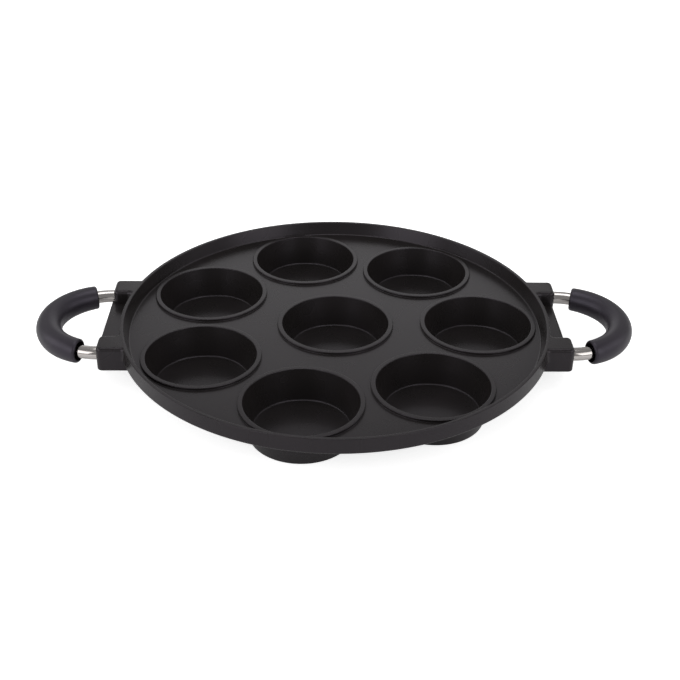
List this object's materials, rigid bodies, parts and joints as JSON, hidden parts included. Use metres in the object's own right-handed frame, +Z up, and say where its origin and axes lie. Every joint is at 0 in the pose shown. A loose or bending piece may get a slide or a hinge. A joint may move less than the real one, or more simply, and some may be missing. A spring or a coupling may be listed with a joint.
{
  "type": "multi-section egg pan",
  "caption": "Round black non-stick egg pan with drafted cups sunk in a shallow rimmed tray, and two side handles of bent steel rod with moulded grips.",
  "frame": {"origin": "on the pan's axis, at the height of the cups' flat undersides, which is the bottom centre of the part's box", "axes": "+X along the handles towards the right one, which a ring cup points at; +Y away from the user; +Z up"},
  "size_m": [0.37, 0.2658, 0.0282],
  "materials": {
    "nonstick_coated_aluminium": "die-cast aluminium under a satin black non-stick coating",
    "brushed_stainless_rod": "brushed stainless steel",
    "grip_sleeve": "matte black moulded heat-resistant sleeve",
    "screw_steel": "bright zinc-plated steel"
  },
  "bodies": {
    "root": {"pan_body": "nonstick_coated_aluminium", "handle_rod_right": "brushed_stainless_rod", "handle_rod_left": "brushed_stainless_rod", "grip_right": "grip_sleeve", "grip_left": "grip_sleeve", "screw_right_rear": "screw_steel", "screw_right_front": "screw_steel", "screw_left_rear": "screw_steel", "screw_left_front": "screw_steel"}
  },
  "joints": []
}
